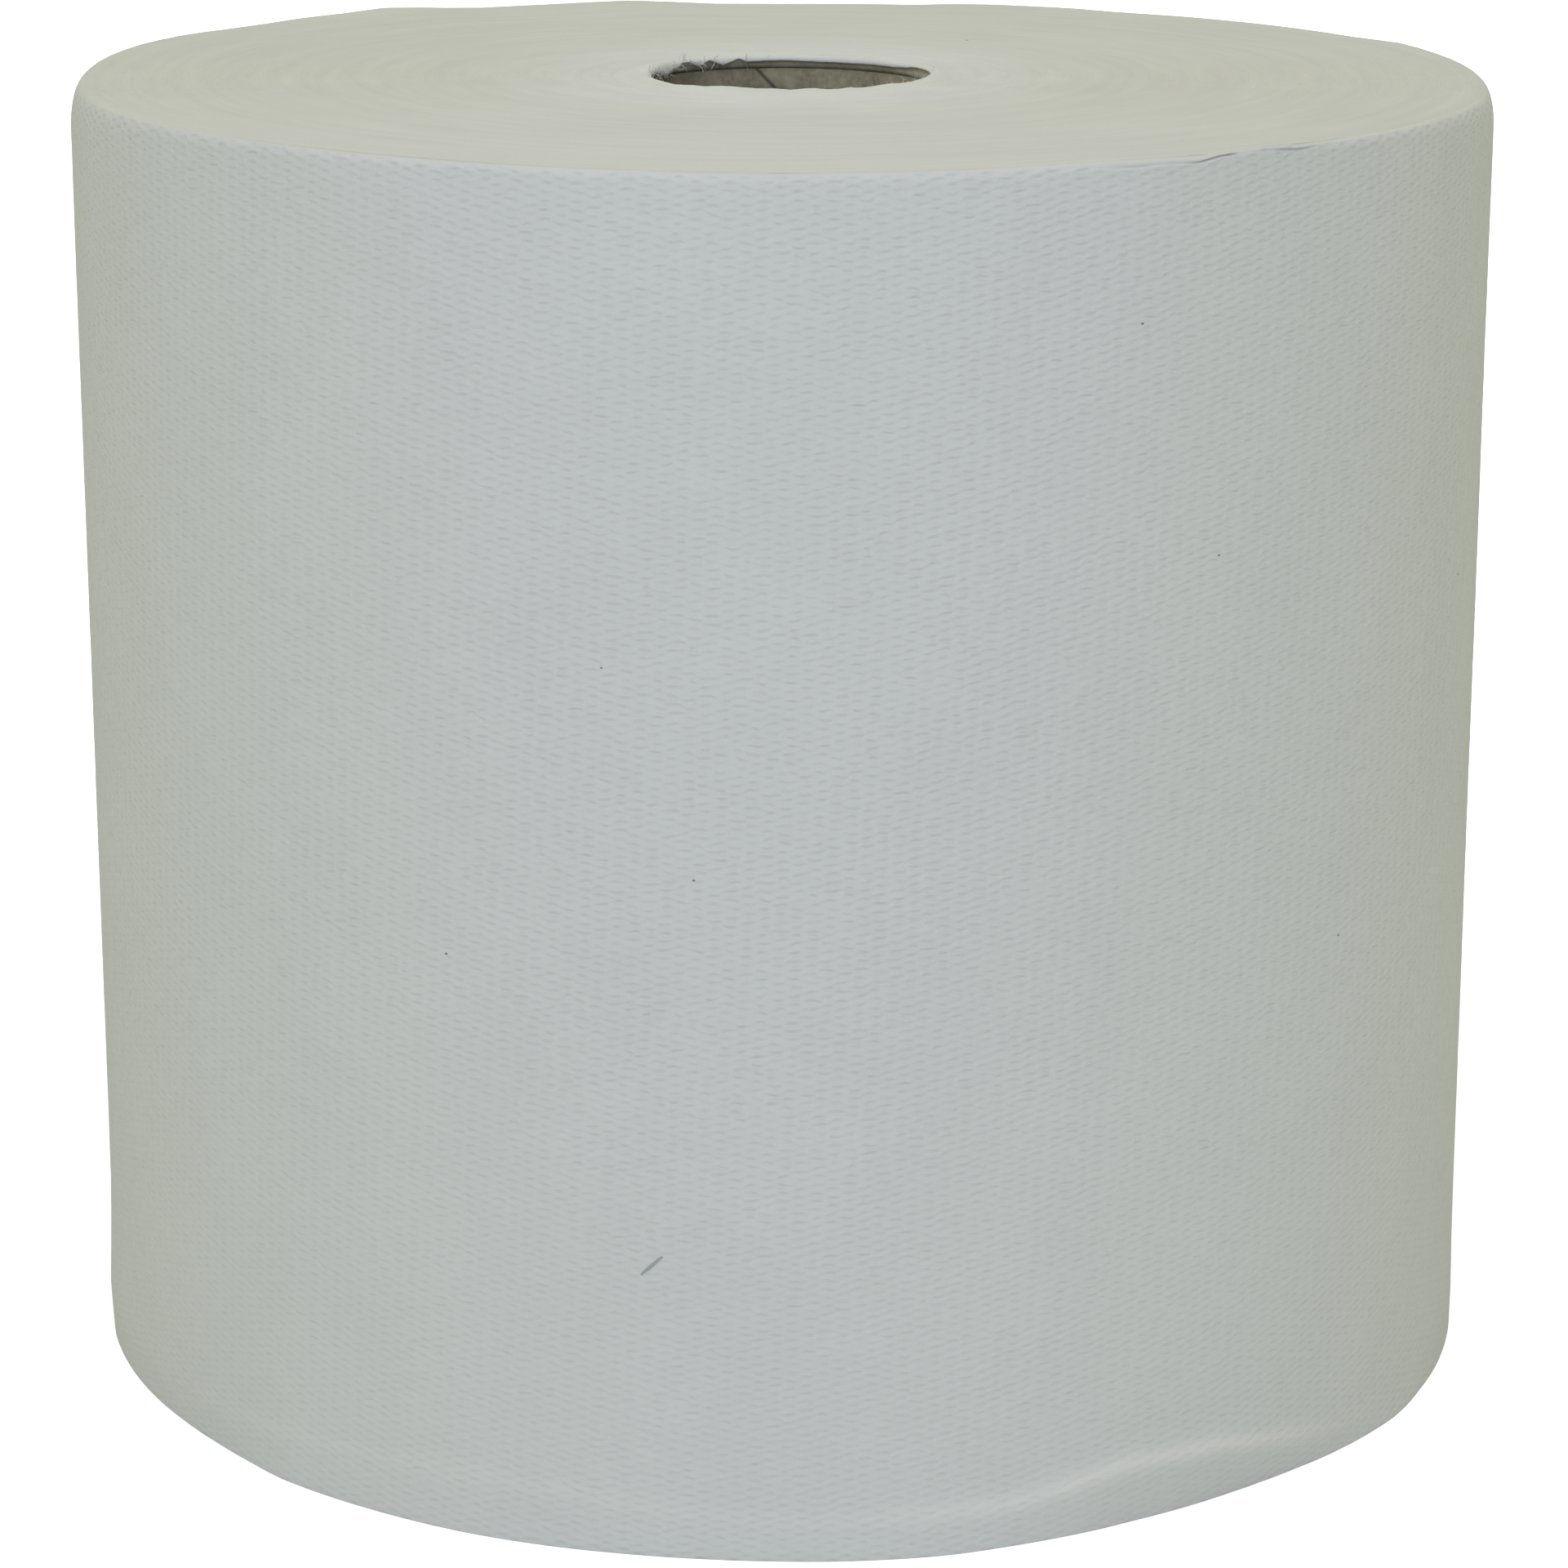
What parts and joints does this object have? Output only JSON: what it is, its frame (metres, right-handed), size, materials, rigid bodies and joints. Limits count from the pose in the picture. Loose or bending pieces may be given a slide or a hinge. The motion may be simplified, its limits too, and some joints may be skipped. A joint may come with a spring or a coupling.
{
  "type": "roll of cleaning wipers",
  "caption": "Wide, squat roll of embossed nonwoven wiping cloth, wound tight on a cardboard core and standing on its end.",
  "frame": {"origin": "middle of the end face that the roll stands on", "axes": "+Z along the core's axis, up to the free end; +Y towards the free edge of the outer turn, at the back; -Y towards the viewer of the picture"},
  "size_m": [0.3716, 0.372, 0.3407],
  "materials": {
    "web": "soft matt nonwoven, embossed with fine zigzag rows",
    "core": "raw grey-brown board, spirally wound"
  },
  "bodies": {
    "root": {"wiper_roll": "web", "core": "core"}
  },
  "joints": []
}
